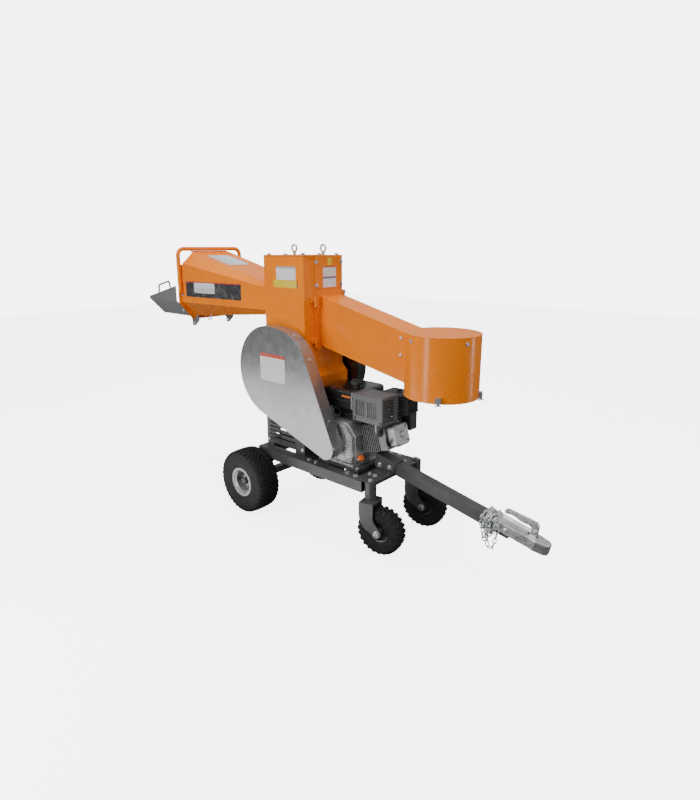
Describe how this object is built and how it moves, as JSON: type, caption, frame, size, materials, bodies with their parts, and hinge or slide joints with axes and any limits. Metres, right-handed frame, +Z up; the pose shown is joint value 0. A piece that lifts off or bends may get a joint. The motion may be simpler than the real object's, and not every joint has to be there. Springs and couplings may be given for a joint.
{
  "type": "towable wood chipper",
  "caption": "Petrol wood chipper on two tyres and two casters, with infeed hopper and fold-down tray, belt-driven drum, swing-out discharge chute with hood, and ball-hitch drawbar.",
  "frame": {"origin": "on the ground, under the middle of the machine's length and width", "axes": "+Z up, +X along the length towards the hitch, +Y across, away from the belt guard"},
  "size_m": [2.8051, 0.776, 1.556],
  "materials": {
    "orange_paint": "gloss",
    "dark_paint": "satin",
    "guard_paint": "satin",
    "black_paint": "gloss",
    "rim_paint": "satin",
    "tyre": "matte",
    "rubber": "matte",
    "zinc": "satin",
    "steel": "satin",
    "cast_iron": "matte",
    "aluminium": "cast",
    "black_plastic": "matte",
    "orange_plastic": "gloss"
  },
  "bodies": {
    "frame": {"air_cleaner": "black_plastic", "axle_beam": "dark_paint", "base_stand": "dark_paint", "bed_knife": "dark_paint", "belt_guard": "guard_paint", "caster_tubes": "dark_paint", "chute_hinges": "orange_paint", "coupler_body": "zinc", "cross_tubes": "dark_paint", "drawbar": "dark_paint", "drawbar_sleeve": "dark_paint", "drive_belts": "rubber", "drum_bearings": "dark_paint", "drum_housing": "orange_paint", "engine_crankcase": "aluminium", "engine_cylinder": "aluminium", "engine_mount": "dark_paint", "flywheel_guard": "black_paint", "fuel_tank": "black_paint", "hopper_rim": "orange_paint", "infeed_hopper": "orange_paint", "lifting_eyes": "zinc", "muffler": "steel", "muffler_guard": "steel", "recoil_housing": "black_paint", "rocker_cover": "aluminium", "safety_chain": "zinc", "side_rails": "dark_paint", "throttle_post": "zinc", "tower_cover": "orange_paint", "tower_shell": "orange_paint", "tray_hinge": "dark_paint"},
    "drum": {"drum_rotor": "steel", "drum_knives": "steel", "drum_shaft": "steel", "drum_pulley": "cast_iron", "flywheel": "cast_iron"},
    "engine_shaft": {"crankshaft": "steel", "engine_pulley": "cast_iron"},
    "chute": {"discharge_chute": "orange_paint", "chute_hood": "orange_paint", "chute_bolts": "zinc"},
    "tray": {"infeed_tray": "dark_paint", "tray_handle": "dark_paint"},
    "hitch_latch": {"coupler_latch": "zinc"},
    "tank_cap": {"fuel_cap": "black_plastic"},
    "oil_plug": {"oil_cap": "orange_plastic"},
    "speed_lever": {"throttle_lever": "zinc"},
    "starter_grip": {"recoil_grip": "black_plastic"},
    "rear_wheel_left": {"rear_tyre_left": "tyre", "rear_rim_left": "rim_paint"},
    "caster_left": {"caster_fork_left": "dark_paint"},
    "caster_wheel_left": {"caster_tyre_left": "tyre", "caster_rim_left": "black_paint"},
    "rear_wheel_right": {"rear_tyre_right": "tyre", "rear_rim_right": "rim_paint"},
    "caster_right": {"caster_fork_right": "dark_paint"},
    "caster_wheel_right": {"caster_tyre_right": "tyre", "caster_rim_right": "black_paint"}
  },
  "joints": [
    {"name": "rear_wheel_left_spin", "type": "hinge", "parent": "frame", "child": "rear_wheel_left", "pos_m": [-0.2975, 0.313, 0.1905], "axis": [0, 1, 0], "continuous": true},
    {"name": "caster_left_swivel", "type": "hinge", "parent": "frame", "child": "caster_left", "pos_m": [0.5405, 0.199, 0.376], "axis": [0, 0, 1], "continuous": true},
    {"name": "caster_left_spin", "type": "hinge", "parent": "caster_left", "child": "caster_wheel_left", "pos_m": [0.60408, 0.21251, 0.127], "axis": [-0.2079, 0.9781, 0], "continuous": true},
    {"name": "rear_wheel_right_spin", "type": "hinge", "parent": "frame", "child": "rear_wheel_right", "pos_m": [-0.2975, -0.313, 0.1905], "axis": [0, 1, 0], "continuous": true},
    {"name": "caster_right_swivel", "type": "hinge", "parent": "frame", "child": "caster_right", "pos_m": [0.5405, -0.199, 0.376], "axis": [0, 0, 1], "continuous": true},
    {"name": "caster_right_spin", "type": "hinge", "parent": "caster_right", "child": "caster_wheel_right", "pos_m": [0.60408, -0.18549, 0.127], "axis": [-0.2079, 0.9781, 0], "continuous": true},
    {"name": "drum_spin", "type": "hinge", "parent": "frame", "child": "drum", "pos_m": [-0.1305, 0, 0.855], "axis": [0, 1, 0], "continuous": true},
    {"name": "engine_spin", "type": "hinge", "parent": "frame", "child": "engine_shaft", "pos_m": [0.2635, 0, 0.508], "axis": [0, 1, 0], "continuous": true},
    {"name": "chute_swing", "type": "hinge", "parent": "frame", "child": "chute", "pos_m": [0.0425, -0.078, 1.001], "axis": [0, 0, 1], "range_deg": [-70, 0]},
    {"name": "tray_fold", "type": "hinge", "parent": "frame", "child": "tray", "pos_m": [-1.0545, 0, 1.074], "axis": [0, 1, 0], "range_deg": [-88, 0]},
    {"name": "latch_lift", "type": "hinge", "parent": "frame", "child": "hitch_latch", "pos_m": [1.32671, 0, 0.30012], "axis": [0, 1, 0], "range_deg": [0, 70]},
    {"name": "fuel_cap_turn", "type": "hinge", "parent": "frame", "child": "tank_cap", "pos_m": [0.2755, 0, 0.812], "axis": [0, 0, 1], "range_deg": [-90, 0]},
    {"name": "oil_cap_turn", "type": "hinge", "parent": "frame", "child": "oil_plug", "pos_m": [0.3955, -0.104, 0.442], "axis": [0.866, 0, 0.5], "range_deg": [0, 180]},
    {"name": "throttle_swing", "type": "hinge", "parent": "frame", "child": "speed_lever", "pos_m": [0.2235, -0.072, 0.664], "axis": [0, 1, 0], "range_deg": [-30, 0]},
    {"name": "starter_pull", "type": "slide", "parent": "frame", "child": "starter_grip", "axis": [0, 0, 1], "range_m": [0, 0.45], "stiffness_N_per_m": 40, "springref_m": -0.03}
  ],
  "couplings": [
    {"joint": "engine_spin", "follows": "drum_spin", "ratio": 4.087}
  ]
}
